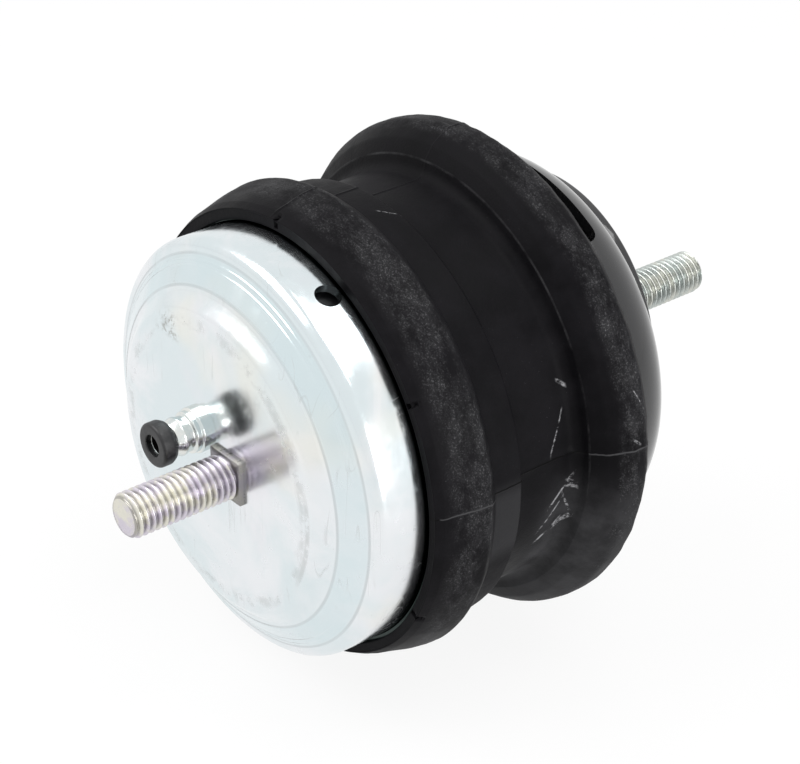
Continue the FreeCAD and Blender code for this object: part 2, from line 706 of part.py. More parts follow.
cap = new_body("top_cap")
cap_foot = cap_radius - size("cap_shoulder")
cap_bend = cap_face - size("cap_shoulder")
cap_wall = cap_radius - size("cap_sheet")
revolve(cap, "cap_shell", [
    (0, cap_inner),
    (cap_foot, cap_inner),
    (cap_wall, cap_bend, size("cap_shoulder") - size("cap_sheet"), -1),
    (cap_wall, far_floor),
    (cap_channel, far_floor),
    (cap_channel, far_crimp),
    (crimp_radius, far_crimp),
    (crimp_radius, far_crimp_end),
    (size("flange_radius"), far_crimp_end),
    (size("flange_radius"), size("far_seat")),
    (cap_radius, size("far_seat")),
    (cap_radius, cap_bend),
    (cap_foot, cap_face, size("cap_shoulder"), 1),
    (0, cap_face),
])
slot_half = size("slot_width") * 0.5
for side, turn in (("upper", 0), ("lower", -180)):
    slot_start = size("slot_from") + turn
    slot_sketch = profile(cap, side + "_slot_section", [
        (cap_wall - size("cap_shoulder"), slot_station - slot_half),
        (size("flange_radius"), slot_station - slot_half),
        (size("flange_radius"), slot_station + slot_half),
        (cap_wall - size("cap_shoulder"), slot_station + slot_half),
    ])
    slot_sketch.AttachmentOffset = Placement(Vector(0, 0, 0), Rotation(Vector(0, 1, 0), 10))
    drive(slot_sketch, "AttachmentOffset.Rotation.Angle", slot_start - 90)
    slot = cap.newObject("PartDesign::Groove", side + "_slot")
    slot.Profile = slot_sketch
    slot.ReferenceAxis = (slot_sketch, ["V_Axis"])
    drive(slot, "Angle", size("slot_span"))
    for end, place in (("start", slot_start), ("end", slot_start + size("slot_span"))):
        radial_hole(cap, "%s_slot_%s" % (side, end), slot_half, slot_station, place,
                    size("flange_radius"))
square_hole(cap, "cap_neck_hole", neck_half)

disc = new_body("top_disc", size("disc_offset"), size("disc_lift"))
revolve(disc, "disc_blank", [
    (0, cap_face),
    (disc_radius, cap_face),
    (disc_radius, disc_face - 0.5),
    (disc_radius - 0.5, disc_face),
    (0, disc_face),
])
square_hole(disc, "disc_neck_hole", neck_half, -size("disc_offset"), -size("disc_lift"))

top_backing = new_body("top_backing_plate")
revolve(top_backing, "top_backing_disc", [
    (0, top_backing_face),
    (backing_radius, top_backing_face),
    (backing_radius, cap_inner),
    (0, cap_inner),
])
square_hole(top_backing, "top_neck_hole", neck_half)

far_stud = stud("top_stud", 0, 0, far_tip, disc_face, top_backing_face,
                top_head, size("top_head_height"), 1)

# ---- Check every object, then write each piece ----

doc.recompute()
pieces = [item for item in doc.Objects if item.TypeId == "PartDesign::Body"] + [rivets]
for item in doc.Objects:
    if "Invalid" in item.State or "Error" in item.State:
        raise RuntimeError("%s failed: %s" % (item.Name, item.State))
for piece in pieces:
    if piece.Shape.isNull() or not piece.Shape.isValid():
        raise RuntimeError("%s has no valid shape" % piece.Label)

os.makedirs("parts", exist_ok=True)
for piece in pieces:
    piece.Shape.exportStep("parts/%s.step" % piece.Label)
    box = piece.Shape.optimalBoundingBox()
    print("%-20s solids %d  volume %9.1f  x %7.2f %7.2f  y %7.2f %7.2f  z %7.2f %7.2f" % (
        piece.Label, len(piece.Shape.Solids), piece.Shape.Volume,
        box.XMin, box.XMax, box.YMin, box.YMax, box.ZMin, box.ZMax))
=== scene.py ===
import bpy
import bmesh
import math
from mathutils import Matrix, Vector, noise


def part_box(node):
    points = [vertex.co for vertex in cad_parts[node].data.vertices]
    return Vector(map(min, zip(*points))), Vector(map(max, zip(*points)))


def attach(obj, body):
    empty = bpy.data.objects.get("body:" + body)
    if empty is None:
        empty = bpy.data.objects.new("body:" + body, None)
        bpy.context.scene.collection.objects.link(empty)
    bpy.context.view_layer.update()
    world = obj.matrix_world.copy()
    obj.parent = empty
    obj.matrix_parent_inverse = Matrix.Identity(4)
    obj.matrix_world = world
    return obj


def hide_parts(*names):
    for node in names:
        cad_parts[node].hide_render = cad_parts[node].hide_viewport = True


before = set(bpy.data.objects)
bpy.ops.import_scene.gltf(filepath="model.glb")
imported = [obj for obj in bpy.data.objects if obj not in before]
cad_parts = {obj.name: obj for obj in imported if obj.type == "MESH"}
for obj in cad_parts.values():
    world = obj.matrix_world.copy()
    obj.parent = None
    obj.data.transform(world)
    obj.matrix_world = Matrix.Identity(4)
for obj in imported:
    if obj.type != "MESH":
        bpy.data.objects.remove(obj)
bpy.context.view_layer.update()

# The mount lies along Y.  Outlines below are in millimetres: distance from their own axis, and
# station along the mount from the middle plane of the rubber.
MM = 0.001
spring_low, spring_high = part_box("main_spring")
stud_low, stud_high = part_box("base_stud")
ring_low, ring_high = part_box("locator_ring")
disc_low, disc_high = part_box("top_disc")
RIM = (spring_high[0] - spring_low[0]) / 2 / MM
AXIS = spring_high[2] / MM - RIM
NEAR_LIP = 0.0266   # metres from the middle plane to the near end of the rubber
MIDDLE = (spring_low[1] + NEAR_LIP) / MM
STUD_SIDE = (stud_low[0] + stud_high[0]) / 2 / MM
PIN_SIDE = (ring_low[0] + ring_high[0]) / 2 / MM
PIN_UP = (ring_low[2] + ring_high[2]) / 2 / MM - AXIS
DISC_SIDE = (disc_low[0] + disc_high[0]) / 2 / MM
DISC_UP = (disc_low[2] + disc_high[2]) / 2 / MM - AXIS
NEAR_TIP = stud_low[1] / MM - MIDDLE
FAR_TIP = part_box("top_stud")[1][1] / MM - MIDDLE


# ---------------------------------------------------------------- shapes

def rounded(outline, steps=7):
    """Points of a closed outline of (radius, station, rounding) corners."""
    points = []
    for i, (r, s, fillet) in enumerate(outline):
        here = Vector((r, s))
        before = Vector(outline[i - 1][:2]) - here
        after = Vector(outline[(i + 1) % len(outline)][:2]) - here
        if fillet <= 0 or before.length < 1e-6 or after.length < 1e-6:
            points.append(here)
            continue
        u, v = before.normalized(), after.normalized()
        half = u.angle(v) / 2
        reach = min(fillet / math.tan(half), before.length * 0.85, after.length * 0.85)
        radius = reach * math.tan(half)
        centre = here + (u + v).normalized() * (radius / math.sin(half))
        start, end = here + u * reach - centre, here + v * reach - centre
        sweep = start.angle_signed(end)
        count = max(2, round(steps * abs(sweep) / 1.57 * (1 + radius / 6)))
        for k in range(count + 1):
            points.append(centre + Matrix.Rotation(-sweep * k / count, 2) @ start)
    return points


def refined(points, longest):
    """The same outline with its long straight runs divided."""
    out = []
    for a, b in zip(points, points[1:] + points[:1]):
        out.append(a)
        parts = int((b - a).length // longest)
        out += [a.lerp(b, (k + 1) / (parts + 1)) for k in range(parts)]
    return out


def place(radius, angle, station, side=0, up=0):
    """Point at an angle from the top, turning towards +X."""
    return Vector((side + radius * math.sin(angle), MIDDLE + station,
                   AXIS + up + radius * math.cos(angle))) * MM


def finish_mesh(name, bm, sharp=40):
    bmesh.ops.remove_doubles(bm, verts=bm.verts, dist=1e-7)
    bmesh.ops.recalc_face_normals(bm, faces=bm.faces)
    mesh = bpy.data.meshes.new(name)
    bm.to_mesh(mesh)
    bm.free()
    mesh.polygons.foreach_set("use_smooth", [True] * len(mesh.polygons))
    mesh.set_sharp_from_angle(angle=math.radians(sharp))
    item = bpy.data.objects.new(name, mesh)
    bpy.context.scene.collection.objects.link(item)
    return item


def grid(bm, rows, wrap_rows=True, wrap_columns=True):
    """Quads between rows of points."""
    rings = [[bm.verts.new(p) for p in row] for row in rows]
    for i in range(len(rings) if wrap_rows else len(rings) - 1):
        a, b = rings[i], rings[(i + 1) % len(rings)]
        for k in range(len(a) if wrap_columns else len(a) - 1):
            m = (k + 1) % len(a)
            corners = [a[k], a[m], b[m], b[k]]
            if len({tuple(round(c * 1e8) for c in v.co) for v in corners}) >= 3:
                bm.faces.new(corners)
    return rings


def turned(name, outline, side=0, up=0, angles=256, shape=None, longest=3.0, sharp=40):
    """Solid of revolution.  shape(angle, radius, station) may move a point a little."""
    points = refined(rounded(outline), longest)
    if isinstance(angles, int):
        angles = [2 * math.pi * k / angles for k in range(angles)]
    bm = bmesh.new()
    rows = []
    for angle in angles:
        row = []
        for p in points:
            r, s = shape(angle, p.x, p.y) if shape else (p.x, p.y)
            row.append(place(r, angle, s, side, up))
        rows.append(row)
    grid(bm, rows)
    return finish_mesh(name, bm, sharp)


def cut(item, tools):
    """Take tool bodies away from a piece."""
    for tool in tools:
        change = item.modifiers.new("cut", "BOOLEAN")
        change.operation = "DIFFERENCE"
        change.solver = "EXACT"
        change.object = tool
    bpy.context.view_layer.update()
    graph = bpy.context.evaluated_depsgraph_get()
    result = bpy.data.meshes.new_from_object(item.evaluated_get(graph))
    item.modifiers.clear()
    item.data = result
    result.polygons.foreach_set("use_smooth", [True] * len(result.polygons))
    result.set_sharp_from_angle(angle=math.radians(40))
    for tool in tools:
        bpy.data.objects.remove(tool)


def drill(radius, angle, station, inner, outer):
    """Round tool along a radius of the mount."""
    bm = bmesh.new()
    out = Vector((math.sin(angle), 0, math.cos(angle)))
    across = Vector((math.cos(angle), 0, -math.sin(angle)))
    rows = []
    for reach, size in ((inner, 0.01), (inner, radius), (outer, radius), (outer, 0.01)):
        row = []
        for k in range(48):
            t = 2 * math.pi * k / 48
            centre = place(reach, angle, station)
            row.append(centre + (across * math.cos(t) + Vector((0, 1, 0)) * math.sin(t)) * size * MM)
        rows.append(row)
    grid(bm, rows, wrap_rows=False)
    bm.verts.ensure_lookup_table()
    for ring in (bm.verts[:48], bm.verts[-48:]):
        bm.faces.new(ring)
    return finish_mesh("tool", bm)


CAP_SOLID_RADIUS = 48.5


def slot_tool(start, end, station, half, inner, outer):
    """Tool for a slot round the cap, with round ends."""
    angles = []
    reach = half / CAP_SOLID_RADIUS
    for k in range(17):
        angles.append((start - reach * math.cos(math.pi * k / 32), half * math.sin(math.pi * k / 32)))
    count = 60
    for k in range(1, count):
        angles.append((start + (end - start) * k / count, half))
    for k in range(17):
        angles.append((end + reach * math.sin(math.pi * k / 32), half * math.cos(math.pi * k / 32)))
    rows = []
    for angle, width in angles:
        width = max(width, 0.02)
        rows.append([place(inner, angle, station - width), place(outer, angle, station - width),
                     place(outer, angle, station + width), place(inner, angle, station + width)])
    bm = bmesh.new()
    rings = grid(bm, rows, wrap_rows=False)
    bm.faces.new(rings[0])
    bm.faces.new(rings[-1])
    return finish_mesh("tool", bm)


def thread_radius(phase, crest, root):
    """Radius of a 60 degree thread across one pitch."""
    phase %= 1.0
    if phase < 0.07 or phase > 0.93:
        return crest
    if 0.43 < phase < 0.57:
        return root
    share = (phase - 0.07) / 0.36 if phase < 0.5 else (0.93 - phase) / 0.36
    return crest + (root - crest) * share


NECK_TOP_RADIUS = 4.3


def stud(name, side, tip, neck_end, seat, head_radius, head_height, outward):
    """Threaded stud with its square neck and round head, as the solid is."""
    bm = bmesh.new()
    pitch, crest, root, chamfer, runout = 1.5, 5.0, 4.12, 0.95, 0.6
    columns = 72
    rows = []
    length = abs(tip - neck_end)
    count = int(length / 0.1)
    for i in range(count + 1):
        depth = length * i / count
        station = tip - outward * depth
        row = []
        for k in range(columns):
            angle = 2 * math.pi * k / columns
            r = thread_radius(station / pitch - angle / (2 * math.pi), crest, root)
            blend = min(max((length - depth) / runout, 0), 1)
            r = min(r, crest - chamfer + depth * 1.02, crest - 0.6 + 0.6 * blend)
            row.append(place(r, angle, station, side))
        rows.append(row)
    rings = grid(bm, rows, wrap_rows=False)
    face = rings[0]
    for r, inset in ((3.2, 0.0), (1.2, 0.06)):
        ring = [bm.verts.new(place(r, 2 * math.pi * k / columns, tip - outward * inset, side))
                for k in range(columns)]
        for k in range(columns):
            m = (k + 1) % columns
            bm.faces.new([face[k], face[m], ring[m], ring[k]])
        face = ring
    bm.faces.new(face)
    half, soft = 5.1, 0.35
    corners = []
    for cx, cz in ((1, 1), (1, -1), (-1, -1), (-1, 1)):
        turn = {(1, 1): 0, (1, -1): 90, (-1, -1): 180, (-1, 1): 270}[(cx, cz)]
        for k in range(5):
            a = math.radians(turn + 22.5 * k)
            corners.append(((half - soft) * cx + soft * math.sin(a), (half - soft) * cz + soft * math.cos(a)))
    # Station and bevel of each level of the neck; the first is a circle inside the thread.
    levels = [(neck_end, None), (neck_end, soft * 0.5), (neck_end - outward * 0.2, 0), (seat, 0)]
    neck_rows = []
    for station, bevel in levels:
        row = []
        for x, z in corners:
            scale = NECK_TOP_RADIUS / math.hypot(x, z) if bevel is None else (half - bevel) / half
            row.append(Vector((side + x * scale, MIDDLE + station, AXIS + z * scale)) * MM)
        neck_rows.append(row)
    grid(bm, neck_rows, wrap_rows=False)
    head_end = seat - outward * head_height
    head = rounded([(0, seat, 0), (head_radius, seat, 0.3), (head_radius, head_end, 0.9), (0, head_end, 0)])
    grid(bm, [[place(p.x, 2 * math.pi * k / 64, p.y, side) for p in head] for k in range(64)],
         wrap_columns=False)
    return finish_mesh(name, bm, 50)


# ---------------------------------------------------------------- node materials

def add_node(tree, kind, **inputs):
    """New node; _name sets a property, inN or a name sets or links a socket."""
    item = tree.nodes.new(kind)
    for key, value in inputs.items():
        if key.startswith("_"):
            setattr(item, key[1:], value)
            continue
        socket = item.inputs[int(key[2:]) if key.startswith("in") else key.replace("_", " ")]
        if isinstance(value, bpy.types.NodeSocket):
            tree.links.new(value, socket)
        else:
            socket.default_value = value
    return item


class Nodes:
    """Small helper for writing node materials."""

    def __init__(self, name):
        self.material = bpy.data.materials.new(name)
        self.material.use_nodes = True
        self.tree = self.material.node_tree
        self.tree.nodes.clear()
        self.output = self.tree.nodes.new("ShaderNodeOutputMaterial")
        coords = self.node("ShaderNodeTexCoord").outputs["Object"]
        self.point = coords
        split = self.node("ShaderNodeSeparateXYZ", Vector=coords)
        self.x = self.mul(split.outputs["X"], 1000)
        self.s = self.sub(self.mul(split.outputs["Y"], 1000), MIDDLE)
        self.z = self.sub(self.mul(split.outputs["Z"], 1000), AXIS)
        self.radius = self.math("SQRT", self.add(self.mul(self.x, self.x), self.mul(self.z, self.z)))
        self.angle = self.mul(self.math("ARCTAN2", self.x, self.z), 180 / math.pi)

    def node(self, kind, **inputs):
        return add_node(self.tree, kind, **inputs)

    def math(self, operation, *values):
        item = self.node("ShaderNodeMath", _operation=operation)
        for socket, value in zip(item.inputs, values):
            if isinstance(value, bpy.types.NodeSocket):
                self.tree.links.new(value, socket)
            else:
                socket.default_value = value
        return item.outputs[0]

    def mul(self, a, b):
        return self.math("MULTIPLY", a, b)

    def add(self, a, b):
        return self.math("ADD", a, b)

    def sub(self, a, b):
        return self.math("SUBTRACT", a, b)

    def step(self, value, low, high, first=0.0, last=1.0):
        """Smooth change from first to last while value goes from low to high."""
        item = self.node("ShaderNodeMapRange", _interpolation_type="SMOOTHSTEP", in0=value)
        flip = low > high
        item.inputs[1].default_value = high if flip else low
        item.inputs[2].default_value = low if flip else high
        item.inputs[3].default_value = last if flip else first
        item.inputs[4].default_value = first if flip else last
        return item.outputs[0]

    def band(self, value, centre, half, soft):
        """1 within half of the centre, fading over soft."""
        off = self.math("ABSOLUTE", self.sub(value, centre))
        return self.step(off, half, half + soft, 1.0, 0.0)

    def noise(self, scale, detail=4, rough=0.55, stretch=(1, 1, 1), shift=0.0, distort=0.0,
              turn=(0, 0, 0)):
        place_node = self.node("ShaderNodeMapping", Vector=self.point)
        place_node.inputs["Scale"].default_value = stretch
        place_node.inputs["Rotation"].default_value = turn
        place_node.inputs["Location"].default_value = (shift, shift * 1.7, -shift)
        item = self.node("ShaderNodeTexNoise", Vector=place_node.outputs[0], Scale=scale, Detail=detail,
                         Roughness=rough, Distortion=distort)
        return item.outputs["Fac"]

    def cells(self, scale, feature="F1", stretch=(1, 1, 1)):
        place_node = self.node("ShaderNodeMapping", Vector=self.point)
        place_node.inputs["Scale"].default_value = stretch
        item = self.node("ShaderNodeTexVoronoi", _feature=feature, Vector=place_node.outputs[0], Scale=scale)
        return item.outputs["Distance"]

    def mix(self, share, a, b):
        item = self.node("ShaderNodeMix", _data_type="RGBA")
        for index, value in ((0, share), (6, a), (7, b)):
            if isinstance(value, bpy.types.NodeSocket):
                self.tree.links.new(value, item.inputs[index])
            else:
                item.inputs[index].default_value = value if index == 0 else (*value, 1)
        return item.outputs[2]

    def bump(self, height, distance, strength=1.0):
        """Normal from a height of 0 to 1 that stands for distance in mm."""
        item = self.node("ShaderNodeBump", Height=height, Distance=distance * MM, Strength=strength)
        return item.outputs[0]

    def finish(self, **inputs):
        shader = self.node("ShaderNodeBsdfPrincipled", **inputs)
        self.tree.links.new(shader.outputs[0], self.output.inputs["Surface"])
        return self.material


# Stain on the raised centre: sideways and upwards from the axis.
STAIN = (-14.3, 26.6)

# Scuffs on the rubber: direction in degrees from the top, station, half width in degrees,
# half length, lean.
SCUFFS = [
    (97.5, 10.5, 0.8, 3.6, -1.7), (95.5, 13.0, 1.6, 1.6, 0.5), (101.0, 12.5, 1.0, 1.8, 2.6),
    (104.5, 9.0, 0.7, 3.0, -2.0), (108.0, 12.6, 1.3, 2.2, -1.2), (110.5, 9.6, 1.0, 3.4, -1.4),
    (79.0, 9.5, 0.7, 2.6, -2.6), (67.0, 12.4, 0.9, 1.2, 1.2),
    (74.0, 24.0, 0.4, 1.8, 2.2), (11.0, -4.0, 0.35, 3.0, 1.2), (84.0, 23.0, 0.5, 1.2, 0.8),
]


def scratches(n, scale, turn, width=0.012, shift=0.0):
    """Sparse thin lines, 1 on the line."""
    lines = n.noise(scale, 1.0, 0.5, (1, 1, 0.02), shift, 0.4, turn)
    thin = n.step(n.math("ABSOLUTE", n.sub(lines, 0.5)), 0, width, 1.0, 0.0)
    sparse = n.step(n.noise(70, 2, 0.5, shift=shift + 3), 0.56, 0.66)
    return n.mul(thin, sparse)


def zinc():
    """Bright zinc plate on pressed steel, handled and slightly smeared, with some painted reflection and
    shade.
    """
    n = Nodes("bright_zinc")
    cloud = n.noise(38, 5, 0.6, distort=0.6)
    fine = n.noise(240, 6, 0.65, shift=1)
    tint = n.mix(n.step(cloud, 0.38, 0.64), (0.71, 0.78, 0.80), (0.82, 0.84, 0.86))
    warm = n.step(n.noise(30, 3, 0.5, shift=5), 0.55, 0.72)
    tint = n.mix(n.mul(warm, 0.5), tint, (0.86, 0.83, 0.74))
    rose = n.step(n.noise(26, 3, 0.5, shift=9), 0.58, 0.74)
    tint = n.mix(n.mul(rose, 0.45), tint, (0.84, 0.78, 0.82))
    # Painted reflection: a pale bluish band painted on the flat ledge ring.
    ledge_reflection = n.mul(n.band(n.radius, 40.6, 2.2, 1.0), n.step(n.s, -37.0, -37.6))
    tint = n.mix(n.mul(ledge_reflection, 0.42), tint, (0.60, 0.73, 0.76))
    # Painted shade: thin dark lines painted where the ledge meets the raised centre and the shoulder.
    crease_shade = n.math("MAXIMUM", n.band(n.radius, 37.7, 0.12, 0.35), n.band(n.radius, 43.5, 0.10, 0.35))
    crease_shade = n.mul(n.mul(crease_shade, n.step(n.s, -36.8, -37.2)), n.step(cloud, 0.3, 0.6, 0.35, 1.0))
    tint = n.mix(n.mul(crease_shade, 0.36), tint, (0.30, 0.35, 0.36))
    lines = n.math("MAXIMUM", scratches(n, 220, (0.3, 1.1, 0.2)),
                   scratches(n, 180, (1.2, 0.4, 0.9), shift=4))
    lines = n.math("MAXIMUM", lines, scratches(n, 260, (0.7, 2.1, 1.4), 0.009, 8))
    pits = n.step(n.cells(620), 0.09, 0.03)
    pits = n.mul(pits, n.step(n.noise(60, 2, shift=12), 0.55, 0.65))
    edge = n.band(n.radius, 31, 0.5, 1.4)
    edge = n.mul(edge, n.step(fine, 0.45, 0.6))
    edge = n.mul(edge, n.step(n.s, -43.6, -44.1))
    marks = n.math("MAXIMUM", n.mul(lines, 0.55), n.math("MAXIMUM", pits, n.mul(edge, 0.7)))
    face = n.step(n.s, -43.0, -43.6)
    blot = n.mul(n.mul(n.band(n.x, STAIN[0], 1.0, 4.0), n.band(n.z, STAIN[1], 0.8, 3.0)), face)
    blot = n.mul(blot, n.step(n.noise(420, 5, 0.8, shift=31), 0.50, 0.60))
    rub = n.mul(n.band(n.radius, 31.8, 0.25, 0.7), n.band(n.angle, 98, 14, 12))
    rub = n.mul(rub, n.step(fine, 0.40, 0.52))
    marks = n.math("MAXIMUM", marks, n.mul(rub, 0.9))
    tint = n.mix(n.mul(marks, 0.45), tint, (0.46, 0.47, 0.46))
    tint = n.mix(n.mul(blot, 0.6), tint, (0.22, 0.20, 0.16))
    # Painted shade and grime: the cup by and under the rubber lip, in the gap between the parts, is painted
    # almost black.
    gap_shade_and_grime = n.step(n.add(n.s, n.mul(fine, 1.6)), -25.6, -24.6)
    tint = n.mix(gap_shade_and_grime, tint, (0.022, 0.034, 0.031))
    rough = n.step(cloud, 0.3, 0.7, 0.13, 0.22)
    rough = n.add(rough, n.step(fine, 0.45, 0.75, 0.0, 0.10))
    rough = n.add(rough, n.mul(marks, 0.2))
    height = n.add(n.mul(cloud, 0.55), n.mul(fine, 0.08))
    height = n.sub(height, n.mul(marks, 0.10))
    for ring, depth in ((37.9, 0.5), (41.6, 0.7), (42.3, -0.5)):
        line = n.mul(n.band(n.radius, ring, 0.10, 0.25), n.step(n.s, -37.4, -37.8))
        height = n.sub(height, n.mul(line, depth))
    return n.finish(Base_Color=tint, Metallic=1.0, Roughness=rough, Normal=n.bump(height, 0.12))


def away_from(n, side, up):
    """Distance from another axis, parallel to the mount's."""
    x, z = n.sub(n.x, side), n.sub(n.z, up)
    return n.math("SQRT", n.add(n.mul(x, x), n.mul(z, z)))


def bored_zinc():
    """The pin's plating, painted near black as shade and dull inside its blind bore."""
    n = Nodes("pin_zinc")
    cloud = n.noise(160, 4, 0.6)
    tint = n.mix(n.step(cloud, 0.4, 0.6), (0.62, 0.68, 0.68), (0.76, 0.77, 0.74))
    # Painted shade: the blind bore is painted near black.
    inside = n.mul(n.step(away_from(n, PIN_SIDE, PIN_UP), 2.4, 2.2), n.step(n.s, -54.35, -54.1))
    tint = n.mix(inside, tint, (0.012, 0.012, 0.012))
    rough = n.add(n.step(cloud, 0.3, 0.7, 0.12, 0.24), n.mul(inside, 0.5))
    return n.finish(Base_Color=tint, Metallic=1.0, Roughness=rough, Normal=n.bump(cloud, 0.05))


def thread_zinc(name, side, cool, warm, grey):
    """Passivated zinc on a rolled thread, with painted shade in the roots so the crests look bright."""
    n = Nodes(name)
    cloud = n.noise(190, 4, 0.6)
    fine = n.noise(900, 5, 0.7, shift=2)
    tint = n.mix(n.step(cloud, 0.42, 0.6), cool, warm)
    tint = n.mix(n.step(fine, 0.55, 0.75), tint, grey)
    # Painted shade: the thread roots are painted darker.
    away_root = away_from(n, side, 0)
    root = n.mul(n.step(away_root, 4.75, 4.25), n.step(n.math("ABSOLUTE", n.s), 46.0, 46.6))
    root = n.mul(root, n.step(away_root, 3.9, 4.05))
    tint = n.mix(n.mul(root, 0.5), tint, (0.10, 0.095, 0.10))
    # Painted shade: the square neck and the start of the thread by the seat are painted dark.
    edge = n.mul(n.step(n.math("ABSOLUTE", n.s), 45.7, 45.3), 0.7)
    tint = n.mix(edge, tint, (0.10, 0.10, 0.10))
    rough = n.step(fine, 0.3, 0.7, 0.24, 0.46)
    return n.finish(Base_Color=tint, Metallic=1.0, Roughness=rough, Normal=n.bump(fine, 0.05))


def rubber():
    """Moulded black rubber: satin, chalky on the crests of the rims, with mould lines and scuffs."""
    n = Nodes("body_rubber")
    grain = n.noise(1500, 4, 0.6)
    mottle = n.noise(90, 5, 0.6, shift=3)
    near_crest = n.mul(n.step(n.radius, 50.4, 51.8), n.band(n.s, -18.4, 4.2, 3.0))
    far_crest = n.mul(n.step(n.radius, 54.2, 55.8), n.band(n.s, 22.5, 2.4, 2.4))
    crest = n.math("MAXIMUM", near_crest, far_crest)
    patches = n.step(n.noise(110, 6, 0.75, (1, 1.8, 1), shift=6), 0.36, 0.72)
    specks = n.step(n.noise(2400, 4, 0.85, shift=8), 0.50, 0.66)
    dust = n.mul(n.mul(crest, patches), specks)
    haze = n.mul(n.mul(crest, patches), 0.14)
    loose = n.mul(n.step(n.noise(1900, 3, 0.7, shift=15), 0.69, 0.74), n.step(mottle, 0.45, 0.7, 0.0, 0.22))
    scuffs = None
    for angle, station, half_angle, half_length, lean in SCUFFS:
        along = n.sub(n.angle, n.add(n.mul(n.sub(n.s, station), lean), angle))
        spot = n.mul(n.band(along, 0, half_angle * 0.4, half_angle * 0.6),
                     n.band(n.s, station, half_length * 0.5, half_length * 0.5))
        scuffs = spot if scuffs is None else n.math("MAXIMUM", scuffs, spot)
    torn = n.step(n.noise(640, 5, 0.8, (1, 0.6, 1), shift=21), 0.44, 0.60)
    scuffs = n.mul(n.mul(scuffs, torn), n.step(n.radius, 46.0, 46.3))
    marks = n.math("MAXIMUM", n.math("MAXIMUM", n.mul(dust, 0.5), n.mul(scuffs, 0.95)),
                   n.math("MAXIMUM", loose, n.mul(haze, 0.5)))
    seam = n.band(n.radius, 50.25, 0.12, 0.2)
    seam = n.mul(seam, n.band(n.s, 15.05, 0.2, 0.3))
    marks = n.math("MAXIMUM", marks, n.mul(n.mul(seam, patches), 0.12))
    wander = n.mul(n.sub(n.noise(140, 3, 0.6, shift=18), 0.5), 1.6)
    joint = n.band(n.add(n.angle, wander), 86, 0.10, 0.16)
    marks = n.math("MAXIMUM", marks, n.mul(n.mul(joint, n.step(n.radius, 49.9, 50.2)), 0.16))
    # Painted highlight: a lighter patch on the band beside the mould joint, where the mould halves meet out
    # of line.
    mismatch_highlight = n.mul(n.band(n.angle, 96, 6, 7), n.band(n.s, -6.5, 3.0, 1.0))
    marks = n.math("MAXIMUM", marks, n.mul(mismatch_highlight, 0.07))
    # Painted light and dust: the side below the mould joint is mottled lighter, as bounce light from below
    # and as dust.
    lower_light_and_dust = n.mul(n.step(n.angle, 86, 112), n.step(n.s, 2, 12))
    marks = n.math("MAXIMUM", marks, n.mul(lower_light_and_dust, n.step(mottle, 0.3, 0.7, 0.05, 0.16)))
    tint = n.mix(n.step(mottle, 0.35, 0.7), (0.0030, 0.0028, 0.0035), (0.0065, 0.0061, 0.0073))
    tint = n.mix(marks, tint, (0.26, 0.26, 0.27))
    tint = n.mix(n.mul(joint, n.step(n.radius, 50.2, 49.9)), tint, (0.002, 0.002, 0.002))
    rough = n.add(n.step(mottle, 0.3, 0.7, 0.44, 0.60), n.mul(marks, 0.35))
    height = n.add(n.mul(grain, 0.4), n.mul(mottle, 1.2))
    return n.finish(Base_Color=tint, Roughness=rough, Normal=n.bump(height, 0.12), Specular_IOR_Level=0.05)


def soft_rubber():
    n = Nodes("inner_rubber")
    grain = n.noise(1400, 4, 0.6)
    tint = n.mix(n.step(grain, 0.35, 0.7), (0.006, 0.006, 0.007), (0.012, 0.012, 0.013))
    return n.finish(Base_Color=tint, Roughness=n.step(grain, 0.3, 0.7, 0.38, 0.5), Normal=n.bump(grain, 0.03))


def paint():
    """Gloss black paint with a faint orange peel."""
    n = Nodes("black_paint")
    peel = n.noise(420, 2, 0.5)
    cloud = n.noise(60, 3, 0.5, shift=2)
    tint = n.mix(cloud, (0.008, 0.008, 0.009), (0.014, 0.014, 0.015))
    rough = n.step(cloud, 0.35, 0.7, 0.10, 0.18)
    return n.finish(Base_Color=tint, Roughness=rough, Normal=n.bump(peel, 0.012), Coat_Weight=0.4,
                    Coat_Roughness=0.06)


def plain_metal(name, low, high, rough_low, rough_high):
    n = Nodes(name)
    cloud = n.noise(80, 5, 0.6)
    fine = n.noise(900, 4, 0.6, shift=1)
    tint = n.mix(n.step(cloud, 0.35, 0.65), low, high)
    rough = n.step(fine, 0.3, 0.7, rough_low, rough_high)
    return n.finish(Base_Color=tint, Metallic=1.0, Roughness=rough, Normal=n.bump(fine, 0.03))


bright_zinc = zinc()
pin_zinc = bored_zinc()
near_thread = thread_zinc("near_stud_zinc", STUD_SIDE, (0.62, 0.58, 0.65), (0.72, 0.70, 0.62),
                          (0.66, 0.65, 0.67))
far_thread = thread_zinc("far_stud_zinc", 0, (0.50, 0.54, 0.52), (0.62, 0.63, 0.58), (0.42, 0.44, 0.42))
body_rubber = rubber()
inner_rubber = soft_rubber()
black_paint = paint()
plain_steel = plain_metal("plain_steel", (0.40, 0.40, 0.39), (0.55, 0.54, 0.52), 0.3, 0.5)
cast_plate = plain_metal("cast_plate", (0.55, 0.55, 0.56), (0.66, 0.66, 0.66), 0.4, 0.6)


def put(item, material, slot_name, *nodes):
    item.data.materials.clear()
    item.data.materials.append(material)
    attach(item, "root")
    if nodes:
        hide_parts(*nodes)
    return item


# ---------------------------------------------------------------- near end

